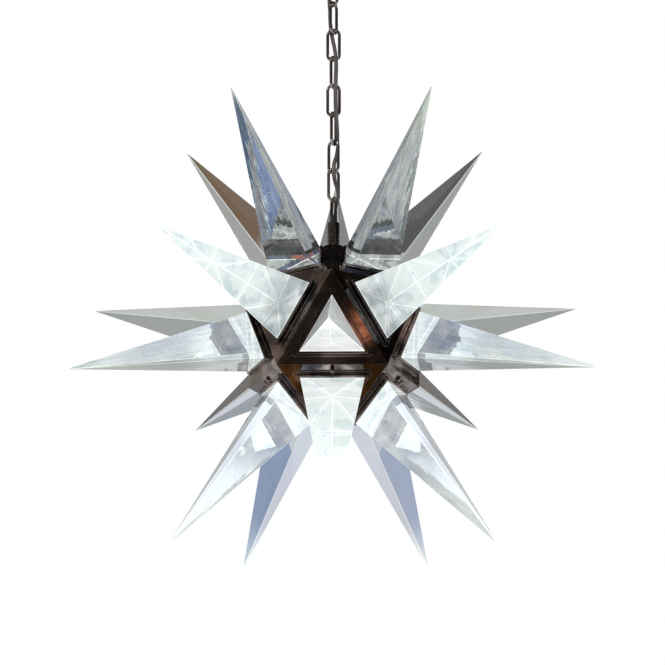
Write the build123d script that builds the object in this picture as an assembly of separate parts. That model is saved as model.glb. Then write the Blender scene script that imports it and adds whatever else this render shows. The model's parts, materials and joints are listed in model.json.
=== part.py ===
from build123d import *
import math
import os

os.makedirs("parts", exist_ok=True)

# Crystal spike pendant light, in millimetres.
# The origin is on the ceiling at the mounting strap, +Z is up, and -Y is the front of the star.

# Star frame: a point-up icosahedron of mitred plates
face_edge = 130.0
plate_thickness = 3.0
seam_gap = 0.04

# Bezel around each crystal, as insets from the plate's edge and heights above the plate
bezel_inset = 9.2
bead_width = 1.6
bead_height = 1.6
bead_round = 0.6
bead_corner = 4.0
groove_width = 1.5
groove_floor = 0.7
rail_width = 3.0
rail_height = 6.0
rail_round = 0.9
rail_corner = 2.4
window_ledge = 5.3

# Crystal spikes
tip_radius = 330.0
tip_flat = 1.2
crystal_clearance = 0.3
seat_clearance = 0.05

# Thumbscrews and grub screws that clamp the crystals
screw_diameter = 3.0
screw_cover = 0.95
screw_clearance = 0.05
screw_tip_gap = 0.05
thumb_head_diameter = 5.0
thumb_head_length = 5.0
thumb_head_gap = 0.2
thumb_chamfer = 0.5
knurl_count = 12
knurl_radius = 0.35
hex_key = 1.5
hex_depth = 1.2

# Chain of butted links, with each link's turn about the vertical
link_wire = 3.8
link_inner_width = 11.1
link_opening = 38.0
link_gap = 0.3
link_turns = (130, 60, -4, 66, -3, 70, 143, 215)

# Loops at both ends of the chain
loop_wire = 3.6
loop_opening = 30.5
loop_root = 1.5
canopy_loop_turn = 50
fixture_loop_turn = 297

# Threaded tube, its bore and its nuts
thread_diameter = 9.9
thread_clearance = 0.05
tube_bore = 7.0
nut_flats = 14.0
nut_height = 5.0

# Ceiling fitting
canopy_margin = 13.0
canopy_depth = 28.0
canopy_wall = 1.2
canopy_round = 12.0
strap_width = 20.0
strap_thickness = 2.0
strap_corner = 5.0
strap_end_land = 2.0
slot_spacing = 78.0
slot_length = 22.0
slot_width = 5.0
ground_screw_place = 22.0
ground_screw_diameter = 4.0
ground_head_diameter = 8.0
ground_head_height = 2.4
ground_head_chamfer = 0.6
ground_screw_length = 6.0
canopy_boss_below = 12.0
canopy_boss_above = 8.0
canopy_hole_clearance = 0.3
ring_nut_diameter = 26.0
ring_nut_height = 7.0
ring_nut_round = 1.5
nipple_above = 6.5
nipple_engagement = 12.0

# Stem above the frame
barrel_height = 18.0
barrel_edge = 0.8
barrel_groove_radius = 0.7
barrel_groove_pitch = 4.3
barrel_groove_count = 3
seat_margin = 1.2
fixture_boss_height = 12.0
stud_length = 8.0
boss_chamfer = 0.8
bushing_leg_gap = 0.2
bushing_slack = 0.9
bushing_wall = 0.7
bushing_above = 10.0
bushing_seat = 4.0
bushing_clearance = 0.1
pipe_engagement = 8.0

# Hub, washer and nut inside the frame's upper point
hub_drop = 2.5
hub_height = 10.5
hub_clearance = 0.02
washer_diameter = 24.0
washer_thickness = 2.0

# Lamp cluster at the star's centre
cup_flats = 34.0
cup_height = 26.0
cup_wall = 2.0
lid_thickness = 2.0
pipe_below_lid = 6.0
holder_diameter = 20.0
holder_length = 20.0
holder_chamfer = 1.0
holder_neck_diameter = 8.0
holder_neck_bore = 4.0
holder_neck_inside = 1.0
pin_spacing = 9.0
pin_diameter = 1.0
pin_length = 8.0
pin_clearance = 0.1
lamp_base_diameter = 15.0
lamp_base_length = 10.0
lamp_diameter = 17.0
lamp_length = 44.0
lamp_round = 7.0
splice_diameter = 10.0
splice_height = 9.0
splice_gap = 2.5
lead_diameter = 2.4

# Power cord, as a round tube of the flat twin cord's section
cord_diameter = 4.2
cord_top = 4.0
cord_leaves_boss = 10.0
cord_joins_axis = 13.0
cord_arc_share = 0.45

# Where the cord passes each chain joint: direction, distance from the chain's axis and height
cord_weave = (
    (180, 7.0, 0.0),
    (188, 6.4, 0.0),
    (114, 8.0, 0.5),
    (303, 7.5, 0.5),
    (294, 6.2, 0.0),
    (297, 6.3, 0.0),
    (29, 7.4, -8.5),
    (256, 7.5, 1.0),
    (347, 7.5, -1.0),
)

# How far an edge may lie from a stated height and still be picked
edge_tolerance = 0.01

# Icosahedron proportions
golden = (1 + math.sqrt(5)) / 2
vertex_radius = face_edge * math.sqrt(golden * math.sqrt(5)) / 2
face_distance = face_edge * golden ** 2 / (2 * math.sqrt(3))
face_inradius = face_edge / (2 * math.sqrt(3))
mitre_slope = face_inradius / face_distance

# Insets and heights that follow from the bezel
rail_inset = bezel_inset + bead_width + groove_width
pocket_inset = rail_inset + rail_width
crystal_inset = pocket_inset + crystal_clearance
window_inset = pocket_inset + window_ledge
tip_height = tip_radius - face_distance
screw_lift = rail_height - screw_cover - screw_clearance - screw_diameter / 2
thread_hole = thread_diameter / 2 + thread_clearance

# The cord passes the bushing, the bushing stands between the loop's legs, and the legs stand flush with the boss
bushing_bore = cord_diameter + 2 * bushing_slack
bushing_diameter = bushing_bore + 2 * bushing_wall
barrel_diameter = bushing_diameter + 2 * (loop_wire + bushing_leg_gap)
canopy_boss_diameter = barrel_diameter
loop_radius = (barrel_diameter - loop_wire) / 2

# The canopy covers the strap
strap_length = slot_spacing + slot_length + 2 * strap_end_land
canopy_diameter = strap_length + 2 * canopy_margin

# Heights of the chain's joints, from the canopy loop down
canopy_boss_bottom = -canopy_depth - canopy_boss_below
joint_heights = [canopy_boss_bottom - loop_opening]
for turn in link_turns:
    joint_heights.append(joint_heights[-1] + link_gap - link_opening)
fixture_loop_top = joint_heights[-1] + link_gap
fixture_boss_top = fixture_loop_top - loop_opening
barrel_top = fixture_boss_top - fixture_boss_height
seat_height = barrel_top - barrel_height


# Directions and the star's corners
def compass(azimuth):
    angle = math.radians(azimuth)
    return Vector(math.sin(angle), -math.cos(angle), 0)


def star_corner(azimuth, side):
    ring = compass(azimuth) * (2 / math.sqrt(5)) + Vector(0, 0, side / math.sqrt(5))
    return ring * vertex_radius


pole = Vector(0, 0, vertex_radius)
upper_corners = [star_corner(72 * i, 1) for i in range(5)]
lower_corners = [star_corner(72 * i + 36, -1) for i in range(5)]

# Each face as its lone corner and the two corners of its level edge
star_faces = {"top": [], "upper": [], "lower": [], "bottom": []}
for i in range(5):
    after = (i + 1) % 5
    star_faces["top"].append((pole, upper_corners[i], upper_corners[after]))
    star_faces["upper"].append((lower_corners[i], upper_corners[i], upper_corners[after]))
    star_faces["lower"].append((upper_corners[i], lower_corners[i - 1], lower_corners[i]))
    star_faces["bottom"].append((-pole, lower_corners[i - 1], lower_corners[i]))

# The flat seat that the barrel stands on sets the height of the star's centre
cap_normal = sum(star_faces["top"][0], Vector()).normalized()
cap_slope = math.hypot(cap_normal.X, cap_normal.Y)
seat_radius = barrel_diameter / 2 + seat_margin
seat_above_centre = (face_distance - cap_slope * seat_radius) / cap_normal.Z
star_centre = Vector(0, 0, seat_height - seat_above_centre)


def face_plane(corners):
    centre = (corners[0] + corners[1] + corners[2]) / 3
    return Plane(origin=centre + star_centre, x_dir=corners[0] - centre, z_dir=centre)


def placed(plane, shape):
    return plane.location * shape


# Face frames
def triangle(inset, height=0.0, corner=0.0):
    outline = RegularPolygon(2 * (face_inradius - inset), 3)
    if corner:
        outline = fillet(outline.vertices(), corner)
    return Pos(0, 0, height) * outline


def top_edges(shape, height):
    return shape.edges().filter_by_position(Axis.Z, height - edge_tolerance, height + edge_tolerance)


def side_screw(length, radius, outer_inset):
    middle = -(face_inradius - outer_inset) + length / 2
    return Pos(middle, 0, screw_lift) * Rot(0, 90, 0) * Cylinder(radius, length)


def bezel():
    bead_inner = bezel_inset + bead_width
    bead = extrude(triangle(bezel_inset, 0, bead_corner) - triangle(bead_inner, 0, bead_corner), bead_height)
    bead = fillet(top_edges(bead, bead_height), bead_round)
    floor = extrude(triangle(bezel_inset, 0, bead_corner), groove_floor)
    rail = extrude(triangle(rail_inset, 0, rail_corner), rail_height)
    rail = fillet(top_edges(rail, rail_height), rail_round)
    return bead + floor + rail


def face_frame(screw_sides):
    mitre = seam_gap + plate_thickness * mitre_slope
    frame = loft([triangle(mitre, -plate_thickness), triangle(seam_gap)], ruled=True)
    frame += bezel()
    frame -= extrude(triangle(pocket_inset), rail_height)
    frame -= extrude(triangle(window_inset, -plate_thickness), plate_thickness)
    hole_length = pocket_inset - bezel_inset + crystal_clearance
    hole = side_screw(hole_length, screw_diameter / 2 + screw_clearance, bezel_inset)
    for side in screw_sides:
        frame -= Rot(0, 0, side) * hole
    return frame


thumb_side = [0]
grub_sides = [-120, 120]


def ring_of_frames(ring):
    sides = thumb_side if ring == "bottom" else grub_sides
    frame = face_frame(sides)
    frames = [placed(face_plane(corners), frame) for corners in star_faces[ring]]
    if ring == "top":
        point = rod(vertex_radius, seat_height + vertex_radius, seat_height)
        bore = rod(thread_hole, seat_height, hub_bottom)
        frames = [frame - point - bore for frame in frames]
    return frames


# Crystals
def crystal():
    tip_inset = face_inradius - tip_flat / (2 * math.sqrt(3))
    sections = [
        triangle(crystal_inset, seat_clearance),
        triangle(crystal_inset, rail_height),
        triangle(tip_inset, tip_height),
    ]
    return loft(sections, ruled=True)


# Screws
def grub_screw():
    length = crystal_inset - screw_tip_gap - rail_inset
    screw = side_screw(length, screw_diameter / 2, rail_inset)
    socket = extrude(RegularPolygon(hex_key / 2, 6, major_radius=False), hex_depth)
    return screw - Pos(-(face_inradius - rail_inset), 0, screw_lift) * Rot(0, 90, 0) * socket


def thumbscrew():
    head_inset = bezel_inset - thumb_head_gap - thumb_head_length
    shank_inset = head_inset + thumb_head_length
    shank = side_screw(crystal_inset - screw_tip_gap - shank_inset, screw_diameter / 2, shank_inset)
    head = Cylinder(thumb_head_diameter / 2, thumb_head_length)
    head = chamfer(head.edges().filter_by(GeomType.CIRCLE), thumb_chamfer)
    for place in PolarLocations(thumb_head_diameter / 2, knurl_count):
        head -= place * Cylinder(knurl_radius, thumb_head_length)
    middle = -(face_inradius - head_inset) + thumb_head_length / 2
    return shank + Pos(middle, 0, screw_lift) * Rot(0, 90, 0) * head


# Chain
def half_ring(radius, wire):
    return Rot(90, 0, 0) * Torus(radius, wire / 2, major_angle=180, align=Align.NONE)


def rod(radius, top, bottom):
    return Pos(0, 0, bottom) * Cylinder(
        radius, top - bottom, align=(Align.CENTER, Align.CENTER, Align.MIN)
    )


def chain_link(number):
    radius = (link_inner_width + link_wire) / 2
    upper = joint_heights[number] + link_gap + link_wire / 2 - radius
    lower = joint_heights[number + 1] - link_wire / 2 + radius
    link = Pos(0, 0, upper) * half_ring(radius, link_wire)
    link += Pos(0, 0, lower) * Rot(180, 0, 0) * half_ring(radius, link_wire)
    for x in (-radius, radius):
        link += Pos(x, 0, 0) * rod(link_wire / 2, upper, lower)
    return Rot(0, 0, link_turns[number]) * link


def loop_arch(inner_end, root):
    # An arch whose inner end is at one height and whose legs go down to another
    bend = inner_end - loop_radius + loop_wire / 2
    arch = Pos(0, 0, bend) * half_ring(loop_radius, loop_wire)
    for x in (-loop_radius, loop_radius):
        arch += Pos(x, 0, 0) * rod(loop_wire / 2, bend, root)
    return arch


def fixture_loop():
    boss = rod(barrel_diameter / 2, fixture_boss_top, barrel_top)
    boss = chamfer(boss.edges().sort_by(Axis.Z)[-1], boss_chamfer)
    arch = Rot(0, 0, fixture_loop_turn) * loop_arch(fixture_loop_top, fixture_boss_top - loop_root)
    stud = rod(thread_diameter / 2, barrel_top, barrel_top - stud_length)
    bore = rod(tube_bore / 2, fixture_boss_top, barrel_top - stud_length)
    seat_hole = bushing_diameter / 2 + bushing_clearance
    counterbore = rod(seat_hole, fixture_boss_top + loop_wire, fixture_boss_top - bushing_seat)
    return boss + arch + stud - bore - counterbore


def canopy_loop():
    boss_top = -canopy_depth + canopy_boss_above
    boss = rod(canopy_boss_diameter / 2, boss_top, canopy_boss_bottom)
    boss = chamfer(boss.edges().sort_by(Axis.Z)[0], boss_chamfer)
    arch = Rot(180, 0, 0) * loop_arch(-joint_heights[0], -canopy_boss_bottom - loop_root)
    thread = rod(thread_hole, boss_top, boss_top - nipple_engagement)
    bore = rod(tube_bore / 2, boss_top, canopy_boss_bottom)
    return boss + Rot(0, 0, canopy_loop_turn) * arch - thread - bore


# Ceiling fitting
def ceiling_canopy():
    radius = canopy_diameter / 2
    outer = fillet(rod(radius, 0, -canopy_depth).edges().sort_by(Axis.Z)[0], canopy_round)
    inner = rod(radius - canopy_wall, 0, -canopy_depth + canopy_wall)
    inner = fillet(inner.edges().sort_by(Axis.Z)[0], canopy_round - canopy_wall)
    hole = rod(canopy_boss_diameter / 2 + canopy_hole_clearance, 0, -canopy_depth)
    return outer - inner - hole


def mounting_strap():
    strap = Pos(0, 0, -strap_thickness / 2) * Box(strap_length, strap_width, strap_thickness)
    strap = fillet(strap.edges().filter_by(Axis.Z), strap_corner)
    slot = extrude(SlotOverall(slot_length, slot_width), -strap_thickness)
    for x in (-slot_spacing / 2, slot_spacing / 2):
        strap -= Pos(x, 0, 0) * slot
    strap -= rod(thread_hole, 0, -strap_thickness)
    tap = ground_screw_diameter / 2 + screw_clearance
    return strap - Pos(ground_screw_place, 0, 0) * rod(tap, 0, -strap_thickness)


def ground_screw():
    shank = rod(ground_screw_diameter / 2, 0, -strap_thickness)
    head = rod(ground_head_diameter / 2, -strap_thickness, -strap_thickness - ground_head_height)
    head = chamfer(head.edges().sort_by(Axis.Z)[0], ground_head_chamfer)
    end = rod(ground_screw_diameter / 2, ground_screw_length - strap_thickness, 0)
    return Pos(ground_screw_place, 0, 0) * (shank + head + end)


def threaded_tube(top, bottom):
    return rod(thread_diameter / 2, top, bottom) - rod(tube_bore / 2, top, bottom)


def hex_nut(bottom):
    outline = RegularPolygon(nut_flats / 2, 6, major_radius=False) - Circle(thread_hole)
    return Pos(0, 0, bottom) * extrude(outline, nut_height)


def ring_nut():
    nut = rod(ring_nut_diameter / 2, -canopy_depth, -canopy_depth - ring_nut_height)
    nut = fillet(nut.edges().filter_by(GeomType.CIRCLE), ring_nut_round)
    thread = canopy_boss_diameter / 2 + thread_clearance
    return nut - rod(thread, -canopy_depth, -canopy_depth - ring_nut_height)


# Stem and hub
hub_bottom = seat_height - hub_drop - hub_height
washer_bottom = hub_bottom - washer_thickness


def stem_barrel():
    barrel = rod(barrel_diameter / 2, barrel_top, seat_height)
    barrel = fillet(barrel.edges().filter_by(GeomType.CIRCLE), barrel_edge)
    for i in range(barrel_groove_count):
        height = seat_height + barrel_groove_pitch * (i + 1)
        barrel -= Pos(0, 0, height) * Torus(barrel_diameter / 2, barrel_groove_radius)
    return barrel - rod(thread_hole, barrel_top, seat_height)


def cord_bushing():
    top = fixture_boss_top + bushing_above
    bottom = fixture_boss_top - bushing_seat
    return rod(bushing_diameter / 2, top, bottom) - rod(bushing_bore / 2, top, bottom)


def pentagon(inner_radius, height):
    outline = Rot(0, 0, -90) * RegularPolygon(inner_radius, 5, major_radius=False)
    return Pos(0, 0, height) * outline


def top_hub():
    sections = []
    for height in (seat_height - hub_drop, hub_bottom):
        depth = face_distance - plate_thickness - hub_clearance
        inner_radius = (depth - cap_normal.Z * (height - star_centre.Z)) / cap_slope
        sections.append(pentagon(inner_radius, height))
    return loft(sections, ruled=True) - rod(thread_hole, seat_height, hub_bottom)


def hub_washer():
    washer = rod(washer_diameter / 2, hub_bottom, washer_bottom)
    return washer - rod(thread_hole, hub_bottom, washer_bottom)


# Lamp cluster
cup_bottom = star_centre.Z - cup_height / 2
cup_top = star_centre.Z + cup_height / 2
lid_top = cup_top + lid_thickness
pipe_top = seat_height + pipe_engagement
pipe_bottom = cup_top - pipe_below_lid
splice_top = pipe_bottom - splice_gap
splice_bottom = splice_top - splice_height
neck_end = -cup_wall - holder_neck_inside


def holder_planes():
    planes = []
    for i in range(5):
        out = compass(72 * i + 36)
        planes.append(Plane(origin=star_centre + out * (cup_flats / 2), z_dir=out))
    below = Vector(0, 0, -1)
    planes.append(Plane(origin=star_centre + below * (cup_height / 2), z_dir=below))
    return planes


def cluster_cup():
    cup = extrude(pentagon(cup_flats / 2, cup_bottom), cup_height)
    cup -= extrude(pentagon(cup_flats / 2 - cup_wall, cup_bottom + cup_wall), cup_height)
    neck = rod(holder_neck_diameter / 2 + screw_clearance, 0, neck_end)
    for plane in holder_planes():
        cup -= placed(plane, neck)
    return cup


def cluster_lid():
    lid = extrude(pentagon(cup_flats / 2, cup_top), lid_thickness)
    return lid - rod(thread_hole, lid_top, cup_top)


def pin_places():
    return [Pos(x, 0, 0) for x in (-pin_spacing / 2, pin_spacing / 2)]


def lamp_holder():
    holder = rod(holder_diameter / 2, holder_length, 0)
    holder = chamfer(holder.edges().sort_by(Axis.Z)[-1], holder_chamfer)
    holder += rod(holder_neck_diameter / 2, 0, neck_end)
    holder -= rod(holder_neck_bore / 2, holder_length / 2, neck_end)
    for place in pin_places():
        bottom = holder_length - pin_length - pin_clearance
        holder -= place * rod(pin_diameter / 2 + pin_clearance, holder_length, bottom)
    return holder


def capsule_lamp():
    base = rod(lamp_base_diameter / 2, holder_length + lamp_base_length, holder_length)
    glass = rod(lamp_diameter / 2, holder_length + lamp_length, holder_length + lamp_base_length)
    glass = fillet(glass.edges().sort_by(Axis.Z)[-1], lamp_round)
    lamp = base + glass
    for place in pin_places():
        lamp += place * rod(pin_diameter / 2, holder_length, holder_length - pin_length)
    return lamp


def lead_wires():
    leads = []
    *side_planes, bottom_plane = holder_planes()
    side_end = splice_diameter / 2 - cup_flats / 2
    for plane in side_planes:
        leads.append(placed(plane, rod(lead_diameter / 2, -cup_wall, side_end)))
    bottom_end = cup_bottom - splice_bottom
    leads.append(placed(bottom_plane, rod(lead_diameter / 2, -cup_wall, bottom_end)))
    return leads


def splice_cap():
    return rod(splice_diameter / 2, splice_top, splice_bottom)


# Power cord
def cord_route():
    route = [Vector(0, 0, cord_top), Vector(0, 0, canopy_boss_bottom - cord_leaves_boss)]
    for (turn, distance, lift), height in zip(cord_weave, joint_heights):
        angle = math.radians(turn)
        place = Vector(math.cos(angle), math.sin(angle), 0) * distance
        route.append(place + Vector(0, 0, height + lift))
    route.append(Vector(0, 0, fixture_loop_top - cord_joins_axis))
    route.append(Vector(0, 0, splice_top))
    return route


def corner_radii(route):
    radii = []
    for before, here, beyond in zip(route, route[1:], route[2:]):
        turn = math.radians((here - before).get_angle(beyond - here))
        run = min((here - before).length, (beyond - here).length)
        radii.append(cord_arc_share * run / math.tan(turn / 2))
    return radii


def power_cord():
    route = cord_route()
    radii = corner_radii(route)
    path = FilletPolyline(*route, radius=radii)
    section = Plane(origin=path @ 0, z_dir=path % 0) * Circle(cord_diameter / 2)
    cord = sweep(section, path=path)
    plain_volume = math.pi * cord_diameter ** 2 / 4 * path.length
    print("cord length", round(path.length, 1), "radii", [round(radius, 1) for radius in radii])
    print("cord volume over section times length", round(cord.volume / plain_volume, 5))
    return cord


# Nodes
nodes = {
    "mounting_strap": [mounting_strap()],
    "canopy_nipple": [threaded_tube(nipple_above, -canopy_depth + canopy_boss_above - nipple_engagement)],
    "strap_lock_nuts": [hex_nut(0), hex_nut(-strap_thickness - nut_height)],
    "ground_screw": [ground_screw()],
    "ceiling_canopy": [ceiling_canopy()],
    "canopy_ring_nut": [ring_nut()],
    "canopy_loop": [canopy_loop()],
    "power_cord": [power_cord()],
    "fixture_loop": [fixture_loop()],
    "cord_bushing": [cord_bushing()],
    "stem_barrel": [stem_barrel()],
    "stem_pipe": [threaded_tube(pipe_top, pipe_bottom)],
    "top_hub": [top_hub()],
    "hub_washer": [hub_washer()],
    "hub_nut": [hex_nut(washer_bottom - nut_height)],
    "cluster_lock_nuts": [hex_nut(lid_top), hex_nut(cup_top - nut_height)],
    "cluster_cup": [cluster_cup()],
    "cluster_lid": [cluster_lid()],
    "lamp_holders": [placed(plane, lamp_holder()) for plane in holder_planes()],
    "capsule_lamps": [placed(plane, capsule_lamp()) for plane in holder_planes()],
    "lead_wires": lead_wires(),
    "splice_cap": [splice_cap()],
}

for number in range(len(link_turns)):
    nodes[f"chain_link_{number + 1}"] = [chain_link(number)]

spike = crystal()
for ring, faces in star_faces.items():
    nodes[f"face_frames_{ring}"] = ring_of_frames(ring)
    for number, corners in enumerate(faces, 1):
        nodes[f"crystal_{ring}_{number}"] = [placed(face_plane(corners), spike)]

grub = grub_screw()
nodes["crystal_grub_screws"] = [
    placed(face_plane(corners), Rot(0, 0, side) * grub)
    for ring in ("top", "upper", "lower")
    for corners in star_faces[ring]
    for side in grub_sides
]

thumb = thumbscrew()
for number, corners in enumerate(star_faces["bottom"], 1):
    nodes[f"thumbscrew_{number}"] = [placed(face_plane(corners), thumb)]

for name, pieces in nodes.items():
    solids = [solid for piece in pieces for solid in piece.solids()]
    export_step(solids[0] if len(solids) == 1 else Compound(solids), f"parts/{name}.step")
print("nodes", len(nodes), "star centre", round(star_centre.Z, 2))
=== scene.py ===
import json
import math

import bmesh
import bpy
from mathutils import Matrix, Vector


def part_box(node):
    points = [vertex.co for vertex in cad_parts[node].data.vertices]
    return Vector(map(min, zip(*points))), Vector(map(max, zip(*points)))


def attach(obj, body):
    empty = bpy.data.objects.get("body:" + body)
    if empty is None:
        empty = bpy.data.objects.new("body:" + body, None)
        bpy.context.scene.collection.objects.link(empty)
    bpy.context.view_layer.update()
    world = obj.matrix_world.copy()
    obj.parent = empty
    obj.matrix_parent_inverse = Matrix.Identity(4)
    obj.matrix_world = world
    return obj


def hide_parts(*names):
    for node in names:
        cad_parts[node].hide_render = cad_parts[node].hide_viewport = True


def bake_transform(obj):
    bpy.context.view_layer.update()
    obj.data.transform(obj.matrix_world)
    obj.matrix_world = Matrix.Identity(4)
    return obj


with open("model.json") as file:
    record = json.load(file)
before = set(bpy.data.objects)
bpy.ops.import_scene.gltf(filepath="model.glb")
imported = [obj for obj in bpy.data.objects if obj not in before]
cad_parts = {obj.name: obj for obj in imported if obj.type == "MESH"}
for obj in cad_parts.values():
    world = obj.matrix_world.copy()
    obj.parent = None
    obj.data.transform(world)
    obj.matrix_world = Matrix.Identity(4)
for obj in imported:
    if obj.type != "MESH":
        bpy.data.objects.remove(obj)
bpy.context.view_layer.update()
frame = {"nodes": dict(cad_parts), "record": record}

nodes = frame["nodes"]
print("frame loaded:", len(nodes), "nodes")


# shader maths: a wire is one socket of one finish, and Python's operators add the Math nodes
class Wire:
    def __init__(self, finish, socket):
        self.finish = finish
        self.socket = socket

    def maths(self, operation, first, second):
        return self.finish.node("Math", {"operation": operation}, {0: first, 1: second})

    def __add__(self, other):
        return self.maths("ADD", self, other)

    def __radd__(self, other):
        return self.maths("ADD", other, self)

    def __sub__(self, other):
        return self.maths("SUBTRACT", self, other)

    def __rsub__(self, other):
        return self.maths("SUBTRACT", other, self)

    def __mul__(self, other):
        return self.maths("MULTIPLY", self, other)

    def __rmul__(self, other):
        return self.maths("MULTIPLY", other, self)

    def plus(self, other):
        return self.finish.node("VectorMath", {"operation": "ADD"}, {0: self, 1: other})

    def between(self, low, high):
        return self.finish.node("MapRange", {"interpolation_type": "SMOOTHSTEP"},
                                {"Value": self, "From Min": low, "From Max": high})

    def across(self, low, high):
        return self * (high - low) + low


pieceShift = 9.0  # each piece takes its own stretch of a noise


class Finish:
    def __init__(self, name, tree=None):
        if tree is None:
            self.material = bpy.data.materials.new(name)
            self.material.use_nodes = True
            tree = self.material.node_tree
        self.tree = tree
        self.tree.nodes.clear()

    # any node: its type, then its settings, then the values or links of its sockets
    def node(self, kind, settings=None, sockets=None, out=0):
        made = self.tree.nodes.new("ShaderNode" + kind)
        for key, value in (settings or {}).items():
            setattr(made, key, value)
        for key, value in (sockets or {}).items():
            socket = made.inputs[key]
            if isinstance(value, Wire):
                self.tree.links.new(value.socket, socket)
            else:
                socket.default_value = (*value, 1.0) if socket.type == "RGBA" else value
        return Wire(self, made.outputs[out]) if made.outputs else None

    def mix(self, factor, first, second):
        return self.node("Mix", {"data_type": "RGBA"}, {"Factor": factor, 6: first, 7: second}, out=2)

    def noise(self, place, scale, detail=3.0, roughness=0.5):
        return self.node("TexNoise", {}, {"Vector": place, "Scale": scale, "Detail": detail, "Roughness": roughness})

    def place(self, stretch=(1, 1, 1)):
        found = self.node("TexCoord", out="Object")
        return self.node("Mapping", {}, {"Vector": found, "Scale": stretch})

    def ownShift(self):
        return self.node("ObjectInfo", out="Random") * pieceShift

    # a noise in the piece's own frame: stretch, detail, roughness, and the range that is kept of it
    def grain(self, stretch, detail, roughness=0.5, kept=None, shift=None):
        place = self.place(stretch)
        if shift is not None:
            place = place.plus(shift)
        value = self.noise(place, 1.0, detail, roughness)
        return value.between(*kept) if kept else value

    # a round patch of directions, its two angles in degrees from its axis
    def lobe(self, toward, axis, fades, full):
        along = self.node("VectorMath", {"operation": "DOT_PRODUCT"},
                          {0: toward, 1: Vector(axis).normalized()}, out="Value")
        return along.between(math.cos(math.radians(fades)), math.cos(math.radians(full)))

    def bump(self, height, strength, distance):
        return self.node("Bump", {}, {"Height": height, "Strength": strength, "Distance": distance})

    def surface(self, settings, volume=None):
        ends = {"Surface": self.node("BsdfPrincipled", {}, settings)}
        if volume is not None:
            ends["Volume"] = volume
        self.node("OutputMaterial", {}, ends)
        return self.material


# crystal: heights are above the spike's face, in metres
crystalLook = {
    "clear": (1.0, 1.0, 1.0),
    "cloud": (0.93, 0.965, 0.955),
    "tip": (0.88, 0.93, 0.80),
    "tipFrom": (0.15, 0.25),
    "footTo": (0.095, 0.055),
    "footShadeTo": (0.085, 0.020),
    "polish": (0.0, 0.004),
    "polishKept": (0.55, 0.8),
    "streakDepth": 0.0006,
    "streakShare": 0.45,
    "edgeTint": (0.72, 0.90, 0.82),
    "tintDensity": 1.6,
    "streakGrain": ((150, 150, 5), 2.0),
    "waveGrain": ((16, 16, 9), 2.0),
    "cloudGrain": ((22, 22, 7), 5.0, 0.65, (0.45, 0.8)),
    "lineGrain": ((260, 260, 4), 2.0, 0.6, (0.48, 0.62)),
    "footShadeGrain": ((30, 30, 24), 2.0, 0.5, (0.30, 0.56)),
    "mottleGrain": ((40, 40, 16), 4.0, 0.6, (0.35, 0.7)),
}
# each kind of spike is a lit or shaded copy of one glass, chosen by where the spike points: how strongly its faces
# are streaked, its index, the tint of its fine lines or the painted shade at its lower end, and a painted glow on
# its faces that stands in for lamp light scattered in the glass, as two mottled colours and the tip's, with two
# others near the foot
crystalKinds = {
    "plain": {"streaks": 0.03, "ior": 1.66},
    "streaked": {"streaks": 0.15, "ior": 1.66, "streakTint": (0.52, 0.56, 0.62)},
    "faded": {
        "streaks": 0.03, "ior": 1.66,
        "paintedVeil": ((0.0, 0.0, 0.0), (0.006, 0.006, 0.006), (0.15, 0.16, 0.135)),
    },
    "lit": {
        "streaks": 0.08, "ior": 1.74, "paintedFootShade": (0.22, 0.235, 0.25),
        "paintedVeil": ((0.010, 0.011, 0.014), (0.028, 0.031, 0.034), (0.022, 0.027, 0.019)),
    },
    "front": {
        "streaks": 0.08, "ior": 1.74, "tipFrom": (0.015, 0.14),
        "paintedVeil": ((0.012, 0.014, 0.017), (0.034, 0.037, 0.040), (0.055, 0.055, 0.055)),
    },
    # side: a shaded copy, with a darker body and darker fine lines as painted shade, and a painted glow near the
    # foot
    "side": {
        "streaks": 0.10, "ior": 1.66, "tipFrom": (0.10, 0.22),
        "clear": (0.82, 0.83, 0.82), "cloud": (0.70, 0.73, 0.71), "streakTint": (0.60, 0.625, 0.63),
        "paintedVeil": ((0.0, 0.0, 0.0), (0.010, 0.010, 0.012), (0.060, 0.066, 0.054)),
        "footPaintedVeil": ((0.030, 0.038, 0.070), (0.120, 0.128, 0.120)),
    },
    "pale": {
        "streaks": 0.08, "ior": 1.66, "tipFrom": (0.06, 0.20),
        "paintedVeil": ((0.013, 0.013, 0.018), (0.032, 0.032, 0.039), (0.085, 0.09, 0.088)),
        "footPaintedVeil": ((0.050, 0.058, 0.090), (0.140, 0.148, 0.145)),
    },
    # edge: the glass of the bevels, with a strong painted glow that stands in for bright lines of light along the
    # edges
    "edge": {
        "streaks": 0.08, "ior": 1.74,
        "paintedVeil": ((0.20, 0.24, 0.21), (0.42, 0.46, 0.43), (0.42, 0.46, 0.43)),
    },
}


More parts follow.
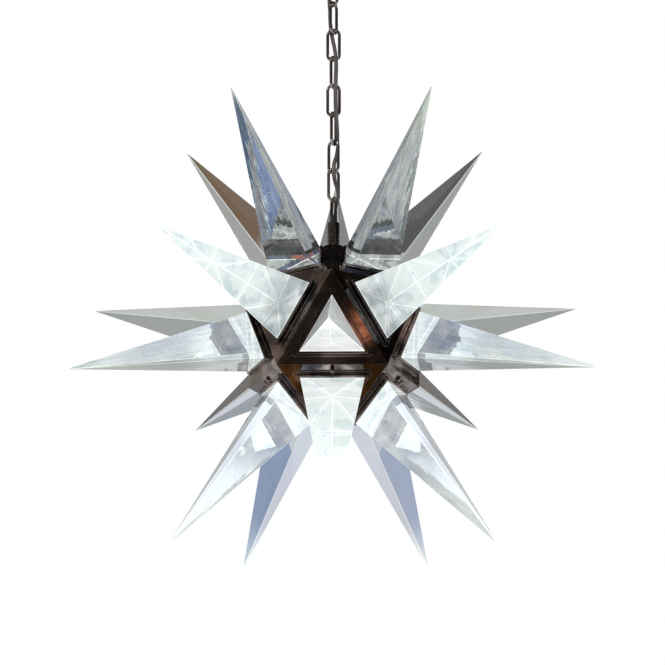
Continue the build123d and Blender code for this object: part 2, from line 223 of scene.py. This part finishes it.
def crystalFinish(kind):
    f = Finish(kind + "_crystal")
    look = {**crystalLook, **crystalKinds[kind]}
    shift = f.ownShift()
    height = f.node("SeparateXYZ", {}, {"Vector": f.place()}, out="Z")
    streaks = f.grain(*look["streakGrain"], shift=shift)
    waves = f.grain(*look["waveGrain"], shift=shift)
    body = f.mix(f.grain(*look["cloudGrain"], shift=shift), look["clear"], look["cloud"])
    if "streakTint" in look:
        body = f.mix(f.grain(*look["lineGrain"], shift=shift), body, look["streakTint"])
    # painted shade: the lit spikes darken to a mottled blue-grey towards the foot
    if "paintedFootShade" in look:
        footShadeMottle = f.grain(*look["footShadeGrain"], shift=shift)
        body = f.mix(height.between(*look["footShadeTo"]) * footShadeMottle, body, look["paintedFootShade"])
    tip = height.between(*look["tipFrom"])
    if "paintedVeil" not in look:
        body = f.mix(tip, body, look["tip"])
    relief = streaks * look["streakShare"] + waves * (1 - look["streakShare"])
    settings = {
        "Base Color": body,
        "Roughness": streaks.between(*look["polishKept"]).across(*look["polish"]),
        "IOR": look["ior"],
        "Transmission Weight": 1.0,
        "Normal": f.bump(relief, look["streaks"], look["streakDepth"]),
    }
    # painted glow: emission on the faces that stands in for lamp light scattered in the glass, mottled, with its own
    # colour at the tip and near the foot
    if "paintedVeil" in look:
        first, second, atTip = look["paintedVeil"]
        mottle = f.grain(*look["mottleGrain"], shift=shift)
        paintedGlow = f.mix(mottle, first, second)
        if "footPaintedVeil" in look:
            paintedGlow = f.mix(height.between(*look["footTo"]), paintedGlow, f.mix(mottle, *look["footPaintedVeil"]))
        settings["Emission Color"] = f.mix(tip, paintedGlow, atTip)
        settings["Emission Strength"] = 1.0
    volume = f.node("VolumeAbsorption", {}, {"Color": look["edgeTint"], "Density": look["tintDensity"]})
    return f.surface(settings, volume)


# the ground foot of a spike has a painted glow that stands in for the lamps behind it; the top five are over the
# lamp holders and their painted glow is darker
groundLook = {
    "light": (0.20, 0.20, 0.20),
    "shade": (0.16, 0.16, 0.16),
    "polish": (0.5, 0.7),
    "bump": (0.2, 0.0003),
    "gritGrain": ((900, 900, 900), 2.0),
    "patchGrain": ((40, 40, 40), 3.0, 0.6, (0.50, 0.66)),
    "secondGrain": ((34, 34, 34), 3.0, 0.5, (0.55, 0.7)),
}
# each foot's painted glow: its plain colour, patches of painted shade, a second mottled colour, and its strength
footGlowLook = {
    "lit": {"plain": (0.92, 0.97, 0.95), "patch": (0.62, 0.68, 0.78), "second": (0.72, 0.83, 0.77), "glow": 0.76},
    "front": {"plain": (1.0, 1.0, 0.99), "patch": (0.75, 0.80, 0.85), "second": (0.80, 0.92, 0.84), "glow": 1.25},
    "edge": {"plain": (1.0, 1.0, 0.99), "patch": (0.85, 0.90, 0.88), "second": (0.80, 0.92, 0.84), "glow": 1.15},
    "top": {"plain": (0.50, 0.53, 0.49), "patch": (0.05, 0.055, 0.065), "second": (0.30, 0.33, 0.30), "glow": 0.9},
    # warm: dark painted shade with orange painted glints, only on top_5's foot walls
    "warm": {"plain": (0.06, 0.09, 0.16), "patch": (0.02, 0.025, 0.04), "second": (0.50, 0.13, 0.05), "glow": 0.9},
}


def groundFinish(kind):
    f = Finish("ground_crystal_glow_" + kind)
    look = {**groundLook, **footGlowLook[kind]}
    shift = f.ownShift()
    grit = f.grain(*look["gritGrain"])
    patch = f.grain(*look["patchGrain"], shift=shift)
    second = f.grain(*look["secondGrain"], shift=shift)
    return f.surface({
        "Base Color": f.mix(grit, look["light"], look["shade"]),
        "Roughness": grit.across(*look["polish"]),
        "Emission Color": f.mix(second, f.mix(patch, look["plain"], look["patch"]), look["second"]),
        "Emission Strength": look["glow"],
        "Normal": f.bump(grit, *look["bump"]),
    })


# dark plated metal: warm tarnish, smudges that dull the polish, and fine buffing lines
nickelLook = {
    "tarnishGrain": ((24, 24, 24), 3.0, 0.55, (0.42, 0.66)),
    "smudgeGrain": ((38, 38, 38), 5.0, 0.65, (0.4, 0.8)),
    "buffGrain": ((420, 60, 420), 3.0),
    "buffShare": 0.3,
    "bump": (0.05, 0.0004),
}
nickelKinds = {
    "black_nickel": {"dark": (0.13, 0.115, 0.106), "warm": (0.42, 0.35, 0.31), "polish": (0.03, 0.10)},
    "chain_nickel": {"dark": (0.40, 0.38, 0.37), "warm": (0.58, 0.55, 0.525), "polish": (0.06, 0.16)},
}


def nickelFinish(name):
    f = Finish(name)
    look = {**nickelLook, **nickelKinds[name]}
    tarnish = f.grain(*look["tarnishGrain"])
    smudge = f.grain(*look["smudgeGrain"])
    relief = f.grain(*look["buffGrain"]) * look["buffShare"] + smudge * (1 - look["buffShare"])
    return f.surface({
        "Base Color": f.mix(tarnish, look["dark"], look["warm"]),
        "Metallic": 1.0,
        "Roughness": smudge.across(*look["polish"]),
        "Normal": f.bump(relief, *look["bump"]),
    })


steelLook = {
    "light": (0.66, 0.65, 0.62),
    "shade": (0.52, 0.50, 0.45),
    "polish": (0.22, 0.42),
    "patchGrain": ((60, 60, 60), 4.0, 0.6, (0.35, 0.75)),
    "lineGrain": ((500, 40, 500), 3.0),
    "bump": (0.12, 0.0003),
}


def platedSteelFinish():
    f = Finish("plated_steel")
    lines = f.grain(*steelLook["lineGrain"])
    return f.surface({
        "Base Color": f.mix(f.grain(*steelLook["patchGrain"]), steelLook["light"], steelLook["shade"]),
        "Metallic": 1.0,
        "Roughness": lines.across(*steelLook["polish"]),
        "Normal": f.bump(lines, *steelLook["bump"]),
    })


# moulded, fired and enamelled pieces: two tones, and pores at a scale of their own
mouldedLook = {
    "patchGrain": ((45, 45, 45), 4.0, 0.6, (0.3, 0.75)),
    "poreDetail": 2.0,
    "poreDepth": 0.0002,
    "pores": 900,
    "relief": 0.08,
}
mouldedKinds = {
    "cord_jacket": {"light": (0.11, 0.092, 0.088), "shade": (0.075, 0.062, 0.06), "polish": (0.24, 0.4)},
    "black_plastic": {"light": (0.012, 0.013, 0.018), "shade": (0.02, 0.021, 0.028), "polish": (0.25, 0.4)},
    "white_ceramic": {"light": (0.86, 0.85, 0.82), "shade": (0.78, 0.77, 0.73), "polish": (0.12, 0.22),
                      "pores": 500, "relief": 0.04},
    "white_enamel": {"light": (0.84, 0.84, 0.82), "shade": (0.76, 0.76, 0.74), "polish": (0.18, 0.3),
                     "pores": 300, "relief": 0.05},
    "lead_sleeve": {"light": (0.84, 0.84, 0.81), "shade": (0.72, 0.72, 0.68), "polish": (0.4, 0.55),
                    "pores": 1500, "relief": 0.1},
}


def mouldedFinish(name):
    f = Finish(name)
    look = {**mouldedLook, **mouldedKinds[name]}
    patch = f.grain(*look["patchGrain"])
    pores = f.grain((look["pores"],) * 3, look["poreDetail"])
    return f.surface({
        "Base Color": f.mix(patch, look["light"], look["shade"]),
        "Roughness": patch.across(*look["polish"]),
        "Normal": f.bump(pores, look["relief"], look["poreDepth"]),
    })


lampLook = {
    "light": (0.95, 0.94, 0.9),
    "shade": (0.85, 0.84, 0.8),
    "glow": (1.0, 0.95, 0.86),
    "glowShade": (1.0, 0.91, 0.78),
    "strength": 6.0,
    "polish": (0.35, 0.55),
    "frostGrain": ((160, 160, 160), 3.0),
    "bump": (0.1, 0.0003),
}


def lampFinish():
    f = Finish("frosted_lamp")
    frost = f.grain(*lampLook["frostGrain"])
    return f.surface({
        "Base Color": f.mix(frost, lampLook["light"], lampLook["shade"]),
        "Roughness": frost.across(*lampLook["polish"]),
        "Emission Color": f.mix(frost, lampLook["glow"], lampLook["glowShade"]),
        "Emission Strength": lampLook["strength"],
        "Normal": f.bump(frost, *lampLook["bump"]),
    })


crystal = {kind: crystalFinish(kind) for kind in crystalKinds}
ground = {kind: groundFinish(kind) for kind in footGlowLook}
nickel = {name: nickelFinish(name) for name in nickelKinds}
moulded = {name: mouldedFinish(name) for name in mouldedKinds}
slotFinish = {
    "black_nickel": nickel["black_nickel"],
    "chain_metal": nickel["chain_nickel"],
    "clear_crystal": crystal["plain"],
    "plated_steel": platedSteelFinish(),
    "cluster_metal": moulded["white_enamel"],
    "cord_jacket": moulded["cord_jacket"],
    "black_plastic": moulded["black_plastic"],
    "white_ceramic": moulded["white_ceramic"],
    "lamp_glass": lampFinish(),
    "lead_insulation": moulded["lead_sleeve"],
}
slotOf = {part["node"]: part["material_slot"] for part in frame["record"]["subparts"]}
print("finishes made")


def dress(piece, finish):
    piece.data.materials.clear()
    piece.data.materials.append(finish)


# the face frames have softened edges that catch the light
softEdge = {"width": 0.0006, "segments": 2, "sharper": 30, "weld": 0.00001}


def softenEdges(piece):
    weld = piece.modifiers.new("weld", "WELD")
    weld.merge_threshold = softEdge["weld"]
    bevel = piece.modifiers.new("soft_edges", "BEVEL")
    bevel.width = softEdge["width"]
    bevel.segments = softEdge["segments"]
    bevel.limit_method = "ANGLE"
    bevel.angle_limit = math.radians(softEdge["sharper"])
    bevel.harden_normals = True


for name, node in nodes.items():
    dress(node, slotFinish[slotOf[name]])
    if name.startswith("face_frames"):
        softenEdges(node)
print("CAD nodes dressed")


def newPiece(name, mesh, slot, *finishes):
    piece = bpy.data.objects.new(name, mesh)
    bpy.context.scene.collection.objects.link(piece)
    for finish in finishes:
        mesh.materials.append(finish)
    return piece


# crystal spikes, each mesh in the spike's own frame: foot on the face, Z along the spike
spike = {
    "edge": 0.130,
    "inset": 0.0156,
    "seat": 0.00005,
    "foot": 0.006,
    "tipRadius": 0.330,
    "tipFlat": 0.0012,
    "bevel": 0.0007,
    "bevelSteps": 2,
    "shortest": 0.01,  # only longer edges are bevelled
    "strip": 0.00025,  # a smaller face is part of a bevel
    # how far a face's normal points up: less than this either way for a wall, and under these for the base and foot
    "wallTilt": 0.05,
    "baseTilt": -0.99,
    "undercut": -0.2,
    "middle": 0.4,  # a spike whose axis leans less to the side points at the viewer
}
golden = (1 + math.sqrt(5)) / 2
vertexRadius = spike["edge"] * math.sqrt(golden * math.sqrt(5)) / 2
faceDistance = spike["edge"] * golden ** 2 / (2 * math.sqrt(3))
faceInradius = spike["edge"] / (2 * math.sqrt(3))


def compass(azimuth):
    angle = math.radians(azimuth)
    return Vector((math.sin(angle), -math.cos(angle), 0))


def starCorner(azimuth, side):
    return (compass(azimuth) * 2 + Vector((0, 0, side))) * vertexRadius / math.sqrt(5)


def starFaces():
    pole = Vector((0, 0, vertexRadius))
    upper = [starCorner(72 * i, 1) for i in range(5)]
    lower = [starCorner(72 * i + 36, -1) for i in range(5)]
    faces = {}
    for i in range(5):
        after = (i + 1) % 5
        faces[f"crystal_top_{i + 1}"] = (pole, upper[i], upper[after])
        faces[f"crystal_upper_{i + 1}"] = (lower[i], upper[i], upper[after])
        faces[f"crystal_lower_{i + 1}"] = (upper[i], lower[i - 1], lower[i])
        faces[f"crystal_bottom_{i + 1}"] = (-pole, lower[i - 1], lower[i])
    return faces


# slots: 0 the long faces, 1 the base, 2 the bevels under the foot, 3 the other bevels, and one for the foot's walls
def faceSlot(face, wallSlot):
    down = face.normal.z
    if abs(down) < spike["wallTilt"]:
        return wallSlot
    if down < spike["baseTilt"]:
        return 1
    if down < spike["undercut"]:
        return 2
    return 3 if face.calc_area() < spike["strip"] else 0


def spikeMesh(wallSlot):
    bm = bmesh.new()
    inradius = faceInradius - spike["inset"]
    tipHeight = spike["tipRadius"] - faceDistance
    rings = []
    for height, reach in (
        (spike["seat"], 2 * inradius),
        (spike["foot"], 2 * inradius),
        (tipHeight, spike["tipFlat"] / math.sqrt(3)),
    ):
        turns = [math.radians(120 * i) for i in range(3)]
        rings.append([bm.verts.new((reach * math.cos(t), reach * math.sin(t), height)) for t in turns])
    bm.faces.new(rings[0][::-1])
    bm.faces.new(rings[2])
    for lower, upper in zip(rings, rings[1:]):
        for i in range(3):
            j = (i + 1) % 3
            bm.faces.new((lower[i], lower[j], upper[j], upper[i]))
    edges = [e for e in bm.edges if e.calc_length() > spike["shortest"]]
    bmesh.ops.bevel(bm, geom=edges, offset=spike["bevel"], segments=spike["bevelSteps"],
                    profile=0.5, affect="EDGES", clamp_overlap=True)
    bmesh.ops.recalc_face_normals(bm, faces=bm.faces)
    for face in bm.faces:
        face.material_index = faceSlot(face, wallSlot)
    mesh = bpy.data.meshes.new("crystal_spike")
    bm.to_mesh(mesh)
    bm.free()
    return mesh


# each spike's kind, and with it its painted glow and painted shade, follows where it points: a lit or shaded copy of
# one glass
def spikeKind(ring, axis):
    if axis.y > 0:
        return "faded" if ring == "bottom" else "plain"
    if ring == "top":
        return "streaked"
    if ring == "upper":
        return "lit"
    if abs(axis.x) < spike["middle"]:
        return "front"
    return "side" if ring == "lower" else "pale"


def spikeSlots(name, ring, axis):
    body = spikeKind(ring, axis)
    # the bevels of the lit, front, side and pale spikes take the edge glass with its painted highlight glow
    edges = "edge" if body in ("lit", "front", "side", "pale") else body
    foot = "top" if ring == "top" else "front" if name == "crystal_lower_1" else "lit"
    slots = [crystal[body], ground[foot], ground["edge"], crystal[edges]]
    # top_5's foot walls take the warm foot: dark painted shade with orange painted glints
    if name == "crystal_top_5":
        slots.append(ground["warm"])  # only its foot's walls
    return slots


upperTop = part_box("face_frames_upper")[1].z
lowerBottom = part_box("face_frames_lower")[0].z
starCentre = Vector((0, 0, (upperTop + lowerBottom) / 2))
bodyOf = {n: body for body, members in frame["record"]["behaviour"]["bodies"].items() for n in members}
for name, corners in starFaces().items():
    centre = sum(corners, Vector()) / 3
    zAxis = centre.normalized()
    xAxis = (corners[0] - centre).normalized()
    yAxis = zAxis.cross(xAxis)
    turn = Matrix((xAxis, yAxis, zAxis)).transposed().to_4x4()
    ring, number = name.split("_")[1:]
    slots = spikeSlots(name, ring, zAxis)
    mesh = spikeMesh(wallSlot=4 if len(slots) > 4 else 1)
    piece = newPiece(f"spike_{ring}_{number}", mesh, "clear_crystal", *slots)
    piece.matrix_world = Matrix.Translation(centre + starCentre) @ turn
    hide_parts(name)
    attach(piece, bodyOf[name])
print("crystal spikes placed round", [round(v, 5) for v in starCentre])

# power cord: a flat twin cord along the CAD route, in one stretch for each chain joint
cord = {
    "coreRadius": 0.0014,
    "coreSpread": 0.96,
    "arc": (-75, 15, 11),  # half the section: first angle, step and points
    "smoothness": 24,
    "top": 0.004,
    "leavesBoss": -0.050,
    "firstJoint": -0.0705,
    "jointStep": 0.0377,
    "joinsAxis": -0.3848,
    "splice": -0.54479,
    # at each chain joint: turn round the chain, distance from its axis, lift
    "weave": (
        (180, 0.0070, 0.0), (188, 0.0064, 0.0), (114, 0.0080, 0.0005),
        (303, 0.0075, 0.0005), (294, 0.0062, 0.0), (297, 0.0063, 0.0),
        (29, 0.0074, -0.0085), (256, 0.0075, 0.001), (347, 0.0075, -0.001),
    ),
    "blend": 0.009,
}
jointHeights = [cord["firstJoint"] - cord["jointStep"] * i for i in range(len(cord["weave"]))]


def cordRoute():
    route = [Vector((0, 0, cord["top"])), Vector((0, 0, cord["leavesBoss"]))]
    for (turn, away, lift), height in zip(cord["weave"], jointHeights):
        angle = math.radians(turn)
        route.append(Vector((away * math.cos(angle), away * math.sin(angle), height + lift)))
    route.append(Vector((0, 0, cord["joinsAxis"])))
    route.append(Vector((0, 0, cord["splice"])))
    return route


def cordLine(route):
    curve = bpy.data.curves.new("cord_line", "CURVE")
    curve.dimensions = "3D"
    spline = curve.splines.new("NURBS")
    spline.points.add(len(route) - 1)
    for point, place in zip(spline.points, route):
        point.co = (*place, 1.0)
    spline.order_u = 3
    spline.use_endpoint_u = True
    spline.resolution_u = cord["smoothness"]
    holder = bpy.data.objects.new("cord_line", curve)
    bpy.context.scene.collection.objects.link(holder)
    depsgraph = bpy.context.evaluated_depsgraph_get()
    mesh = bpy.data.meshes.new_from_object(holder.evaluated_get(depsgraph))
    line = [v.co.copy() for v in mesh.vertices]
    bpy.data.objects.remove(holder)
    bpy.data.meshes.remove(mesh)
    return line


# at a chain joint the cord's thin side faces the chain, and between joints it twists the short way
def flatTurns():
    turns = []
    for turn, away, lift in cord["weave"]:
        angle = turn + 90
        if turns:
            angle += 180 * round((turns[-1] - angle) / 180)
        turns.append(angle)
    return turns


def flatTurnAt(height, turns):
    if height >= jointHeights[0]:
        return turns[0]
    for k in range(len(turns) - 1):
        if height >= jointHeights[k + 1]:
            share = (jointHeights[k] - height) / cord["jointStep"]
            share = share * share * (3 - 2 * share)
            return turns[k] + (turns[k + 1] - turns[k]) * share
    return turns[-1]


def twinSection():
    r = cord["coreRadius"]
    first, step, count = cord["arc"]
    outline = []
    for side, half in ((1, 0), (-1, 180)):
        for i in range(count):
            angle = math.radians(first + half + step * i)
            outline.append((side * r * cord["coreSpread"] + r * math.cos(angle), r * math.sin(angle)))
    return outline


def cordStretch(name, line, turns):
    bm = bmesh.new()
    rings = []
    for i, here in enumerate(line):
        ahead = (line[min(i + 1, len(line) - 1)] - line[max(i - 1, 0)]).normalized()
        angle = math.radians(flatTurnAt(here.z, turns))
        wide = Vector((math.cos(angle), math.sin(angle), 0))
        wide = (wide - ahead * wide.dot(ahead)).normalized()
        thin = ahead.cross(wide)
        rings.append([bm.verts.new(here + wide * x + thin * y) for x, y in twinSection()])
    count = len(rings[0])
    for a, b in zip(rings, rings[1:]):
        for i in range(count):
            j = (i + 1) % count
            face = bm.faces.new((a[i], a[j], b[j], b[i]))
            face.smooth = True
    bm.faces.new(rings[0][::-1])
    bm.faces.new(rings[-1])
    bmesh.ops.recalc_face_normals(bm, faces=bm.faces)
    mesh = bpy.data.meshes.new(name)
    bm.to_mesh(mesh)
    bm.free()
    return mesh


chainBodies = ["ceiling"] + [f"link_{i}" for i in range(1, len(jointHeights))] + ["pendant"]
line = cordLine(cordRoute())
turns = flatTurns()
ends = [0]
for joint in jointHeights[:-1]:
    cut = joint - cord["jointStep"] / 2
    ends.append(next(i for i, p in enumerate(line) if p.z <= cut))
ends.append(len(line) - 1)
for k, joint in enumerate(jointHeights):
    name = f"power_cord_{k + 1}"
    mesh = cordStretch(name, line[ends[k]:ends[k + 1] + 1], turns)
    piece = newPiece(name, mesh, "cord_jacket", moulded["cord_jacket"])
    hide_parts("power_cord")
    chainBodies[k + 1]
    joint + cord["blend"]
    joint - cord["blend"]
    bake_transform(piece)
length = sum((b - a).length for a, b in zip(line, line[1:]))
print("cord length", round(length, 4), "points", len(line))

# stage: a pale floor far below in a white room, where the metal and the crystal see patches of colour by direction
room = {
    "floorHeight": -2.6,
    "floorSize": 14.0,
    "floorCuts": 8,
    "floorColour": (0.86, 0.86, 0.85),
    "floorShade": (0.83, 0.83, 0.82),
    "floorGrain": ((0.8, 0.8, 0.8), 3.0),
    "floorFades": (1.0, 6.0),
    "white": (1.0, 1.0, 1.0),
    "light": 0.85,
    # what the metal mirrors: bands of two colours from two noises, each its scale and the range kept of it,
    # then lobes: colour, direction, angle where it fades out, angle where it is full
    "metalBase": (0.02, 0.018, 0.016),
    "bandColours": ((0.22, 0.21, 0.20), (0.24, 0.17, 0.12)),
    "bandColourNoise": (5.0, (0.48, 0.62)),
    "bandNoise": (13.0, (0.52, 0.60)),
    "metalLobes": (
        ((0.30, 0.25, 0.22), (-0.81, -0.13, 0.27), 26, 8),
        ((0.50, 0.45, 0.40), (-0.48, 0.84, -0.2), 40, 15),
        ((0.48, 0.44, 0.39), (0.48, 0.83, -0.35), 26, 10),
        ((0.012, 0.011, 0.010), (0.0, 0.75, 0.65), 40, 20),
        ((0.016, 0.014, 0.012), (0.9, -0.25, 0.32), 30, 14),
        ((0.045, 0.040, 0.037), (0.12, -0.96, -0.22), 14, 7),
        ((1.3, 0.52, 0.28), (-0.0031, -0.9927, -0.1224), 0.65, 0.25),
        ((1.6, 1.45, 1.4), (-0.03, -0.97, 0.247), 5, 2),
        ((5.0, 4.9, 4.8), (-0.55, -0.62, 0.56), 9, 5),
        ((4.0, 3.9, 3.8), (0.62, -0.55, 0.56), 8, 4),
        ((3.0, 3.0, 3.0), (-0.45, -0.72, -0.53), 8, 4),
        ((3.0, 3.0, 3.0), (0.30, -0.35, 0.89), 8, 4),
    ),
    # spots on the floor: colour, place, distance where it fades out, distance where it is full
    "metalFloor": (0.55, 0.555, 0.58),
    "metalSpots": (((0.20, 0.10, 0.035), (0.0, 0.0), 1.6, 0.5),),
    # what the crystal lets through, in the same way
    "glassBase": (0.86, 0.88, 0.90),
    "glassLobes": (
        ((0.31, 0.32, 0.31), (0.0, -0.2, 1.0), 60, 40),
        ((0.46, 0.51, 0.51), (0.0, 0.30, 0.95), 25, 12),
        ((0.38, 0.38, 0.37), (0.0, 0.95, 0.28), 36, 18),
        ((0.62, 0.65, 0.74), (0.0, 0.85, 0.50), 19, 10),
        ((0.52, 0.53, 0.50), (0.03, 0.98, -0.20), 22, 10),
        ((0.12, 0.20, 0.42), (-0.71, -0.69, 0.08), 30, 14),
        ((0.45, 0.45, 0.44), (0.71, -0.69, 0.08), 26, 12),
        ((0.24, 0.28, 0.31), (-0.94, -0.26, -0.19), 10, 5),
        ((0.25, 0.27, 0.27), (0.93, -0.30, -0.20), 10, 5),
    ),
    "glassFloor": (0.76, 0.80, 0.88),
    "glassSpots": (
        ((0.11, 0.18, 0.36), (2.6, -0.05), 0.75, 0.45),
        ((0.33, 0.33, 0.33), (-2.6, -0.05), 0.75, 0.45),
        ((0.25, 0.225, 0.215), (2.1, -0.6), 0.55, 0.3),
        ((0.25, 0.225, 0.215), (-2.1, -0.6), 0.55, 0.3),
        ((0.06, 0.11, 0.20), (3.2, -1.35), 0.75, 0.35),
        ((0.56, 0.61, 0.56), (-3.2, -1.35), 0.75, 0.35),
        ((0.22, 0.29, 0.44), (3.25, -0.5), 0.75, 0.35),
        ((0.105, 0.098, 0.088), (4.4, -0.6), 0.95, 0.60),
        ((0.17, 0.105, 0.062), (-4.6, -0.35), 0.85, 0.55),
        ((0.33, 0.38, 0.52), (-3.25, -0.6), 0.80, 0.40),
    ),
}
seenBy = (("Is Glossy Ray", "metal"), ("Is Transmission Ray", "glass"))


def floorFinish():
    f = Finish("pale_floor")
    tone = f.grain(*room["floorGrain"])
    mixed = f.node("BsdfDiffuse", {}, {"Color": f.mix(tone, room["floorColour"], room["floorShade"])})
    spot = f.place()
    for ray, kind in seenBy:
        colour = room[kind + "Floor"]
        for tint, (x, y), fades, full in room[kind + "Spots"]:
            away = f.node("VectorMath", {"operation": "DISTANCE"}, {0: spot, 1: (x, y, 0)}, out="Value")
            colour = f.mix(away.between(fades, full), colour, tint)
        seen = f.node("Emission", {}, {"Color": colour, "Strength": 1.0})
        mixed = f.node("MixShader", {}, {0: f.node("LightPath", out=ray), 1: mixed, 2: seen})
    # far from the lamp the floor runs into the white room, and from below it isn't in the way
    away = f.node("VectorMath", {"operation": "LENGTH"}, {0: spot}, out="Value")
    far = away.between(*room["floorFades"]) * f.node("LightPath", out="Is Camera Ray")
    white = f.node("Emission", {}, {"Color": room["white"], "Strength": 1.0})
    mixed = f.node("MixShader", {}, {0: far, 1: mixed, 2: white})
    under = f.node("NewGeometry", out="Backfacing")
    mixed = f.node("MixShader", {}, {0: under, 1: mixed, 2: f.node("BsdfTransparent")})
    f.node("OutputMaterial", {}, {"Surface": mixed})
    return f.material


def makeFloor():
    bm = bmesh.new()
    cuts = room["floorCuts"]
    bmesh.ops.create_grid(bm, x_segments=cuts, y_segments=cuts, size=room["floorSize"] / 2)
    mesh = bpy.data.meshes.new("floor")
    bm.to_mesh(mesh)
    bm.free()
    floor = bpy.data.objects.new("floor", mesh)
    floor.location = (0, 0, room["floorHeight"])
    bpy.context.scene.collection.objects.link(floor)
    dress(floor, floorFinish())


def metalBands(f, toward):
    (colourScale, colourKept), (scale, kept) = room["bandColourNoise"], room["bandNoise"]
    tint = f.mix(f.noise(toward, colourScale).between(*colourKept), *room["bandColours"])
    return f.mix(f.noise(toward, scale).between(*kept), room["metalBase"], tint)


def makeWorld():
    world = bpy.data.worlds.new("soft_room")
    world.use_nodes = True
    bpy.context.scene.world = world
    f = Finish("soft_room", world.node_tree)
    toward = f.node("TexCoord", out="Generated")
    mixed = f.node("Background", {}, {"Color": room["white"], "Strength": room["light"]})
    for ray, kind in seenBy:
        colour = metalBands(f, toward) if kind == "metal" else room["glassBase"]
        for tint, axis, fades, full in room[kind + "Lobes"]:
            colour = f.mix(f.lobe(toward, axis, fades, full), colour, tint)
        seen = f.node("Background", {}, {"Color": colour, "Strength": 1.0})
        mixed = f.node("MixShader", {}, {0: f.node("LightPath", out=ray), 1: mixed, 2: seen})
    white = f.node("Background", {}, {"Color": room["white"], "Strength": 1.0})
    mixed = f.node("MixShader", {}, {0: f.node("LightPath", out="Is Camera Ray"), 1: mixed, 2: white})
    f.node("OutputWorld", {}, {"Surface": mixed})


lamps = {
    "key_light": {"place": (-1.6, -1.8, 0.6), "size": 1.4, "power": 18},
    "fill_light": {"place": (1.8, -1.2, -0.2), "size": 1.2, "power": 8},
}


# a soft lamp that faces the star, and that metal and crystal don't mirror
def softLight(name, place, size, power):
    data = bpy.data.lights.new(name, "AREA")
    data.shape = "DISK"
    data.size = size
    data.energy = power
    lamp = bpy.data.objects.new(name, data)
    lamp.location = place
    lamp.rotation_euler = (starCentre - Vector(place)).to_track_quat("-Z", "Y").to_euler()
    lamp.visible_glossy = False
    lamp.visible_transmission = False
    bpy.context.scene.collection.objects.link(lamp)


# camera fitted to the spike tips
view = {
    "distance": 2.254,
    "azimuth": 0.977,
    "elevation": -14.279,
    "pitch": 0.158,
    "yaw": 0.032,
    "focal": 1842.0,
    "pixels": 665,
    "sensor": 36.0,
    "clip": (0.05, 60.0),
}


def makeCamera():
    data = bpy.data.cameras.new("camera")
    data.sensor_fit = "HORIZONTAL"
    data.sensor_width = view["sensor"]
    data.lens = view["focal"] / view["pixels"] * data.sensor_width
    data.clip_start, data.clip_end = view["clip"]
    camera = bpy.data.objects.new("camera", data)
    bpy.context.scene.collection.objects.link(camera)
    azimuth, elevation = math.radians(view["azimuth"]), math.radians(view["elevation"])
    level = math.cos(elevation)
    back = Vector((math.sin(azimuth) * level, -math.cos(azimuth) * level, math.sin(elevation)))
    camera.location = starCentre + back * view["distance"]
    aim = (-back).to_track_quat("-Z", "Y").to_matrix()
    pitch = Matrix.Rotation(math.radians(view["pitch"]), 3, "X")
    yaw = Matrix.Rotation(math.radians(view["yaw"]), 3, "Y")
    camera.rotation_euler = (aim @ (pitch @ yaw)).to_euler()
    bpy.context.scene.camera = camera


makeFloor()
makeWorld()
for name, lamp in lamps.items():
    softLight(name, **lamp)
makeCamera()
bpy.context.scene.view_settings.view_transform = "Standard"
bounces = {"max_bounces": 24, "glossy_bounces": 20, "transmission_bounces": 24}  # light turns many times in a spike
for key, value in bounces.items():
    setattr(bpy.context.scene.cycles, key, value)
print("stage set")

bpy.context.view_layer.update()
